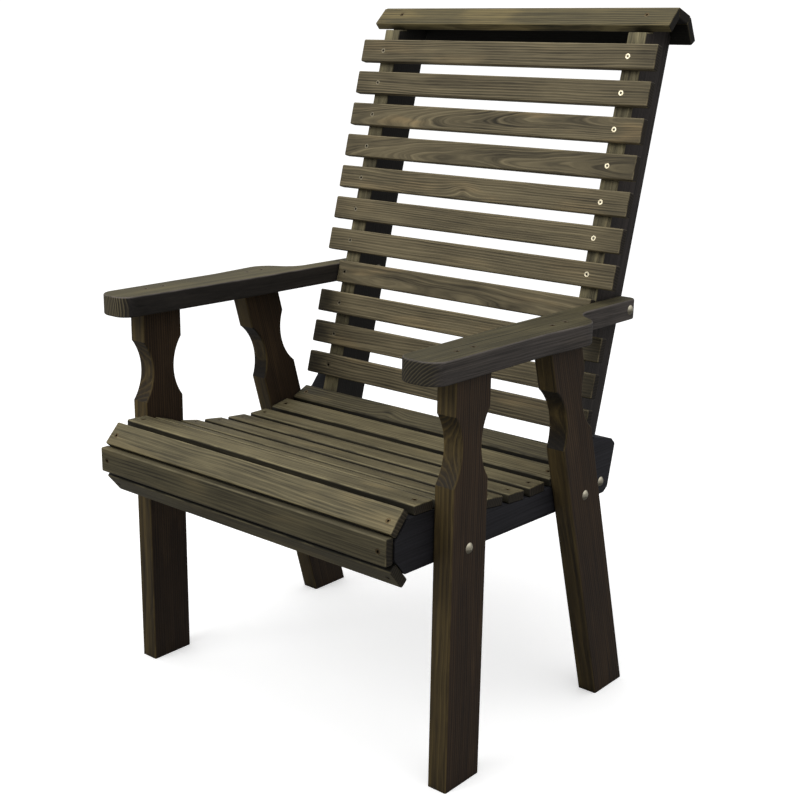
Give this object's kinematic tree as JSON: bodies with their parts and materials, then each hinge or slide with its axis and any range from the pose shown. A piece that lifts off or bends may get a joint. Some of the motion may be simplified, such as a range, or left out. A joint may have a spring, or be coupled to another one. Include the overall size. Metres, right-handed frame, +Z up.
{
  "type": "wooden armchair",
  "caption": "High-backed outdoor armchair of stained pine boards: slatted contoured seat, leaning slatted back with rolled crest, flat arms and waisted legs.",
  "frame": {"origin": "on the floor, in the middle of the overall width and depth", "axes": "+Z up, the sitter faces -Y, +X towards the sitter's left hand"},
  "size_m": [0.746, 0.7871, 1.1547],
  "materials": {
    "stained_pine": "semi-transparent walnut stain, satin",
    "brass_screw": "worn bright",
    "zinc_bolt": "yellow zinc plate"
  },
  "bodies": {
    "root": {"front_leg_left": "stained_pine", "front_leg_right": "stained_pine", "rear_leg_left": "stained_pine", "rear_leg_right": "stained_pine", "seat_rail_left": "stained_pine", "seat_rail_right": "stained_pine", "back_upright_left": "stained_pine", "back_upright_right": "stained_pine", "armrest_left": "stained_pine", "armrest_right": "stained_pine", "seat_slat_01": "stained_pine", "seat_slat_02": "stained_pine", "seat_slat_03": "stained_pine", "seat_slat_04": "stained_pine", "seat_slat_05": "stained_pine", "seat_slat_06": "stained_pine", "seat_slat_07": "stained_pine", "seat_slat_08": "stained_pine", "seat_nose_slat": "stained_pine", "seat_apron_slat": "stained_pine", "seat_under_slat": "stained_pine", "back_slat_01": "stained_pine", "back_slat_02": "stained_pine", "back_slat_03": "stained_pine", "back_slat_04": "stained_pine", "back_slat_05": "stained_pine", "back_slat_06": "stained_pine", "back_slat_07": "stained_pine", "back_slat_08": "stained_pine", "back_slat_09": "stained_pine", "back_slat_10": "stained_pine", "back_slat_11": "stained_pine", "crest_slat_front": "stained_pine", "crest_slat_top": "stained_pine", "crest_slat_rear": "stained_pine", "seat_slat_screws": "brass_screw", "back_slat_screws": "brass_screw", "crest_slat_screws": "brass_screw", "arm_screws": "brass_screw", "leg_bolts": "zinc_bolt", "leg_washers": "zinc_bolt", "leg_nuts": "zinc_bolt", "rail_bolts": "zinc_bolt", "rail_washers": "zinc_bolt", "rail_nuts": "zinc_bolt", "arm_bolts": "zinc_bolt", "arm_washers": "zinc_bolt", "arm_nuts": "zinc_bolt"}
  },
  "joints": []
}
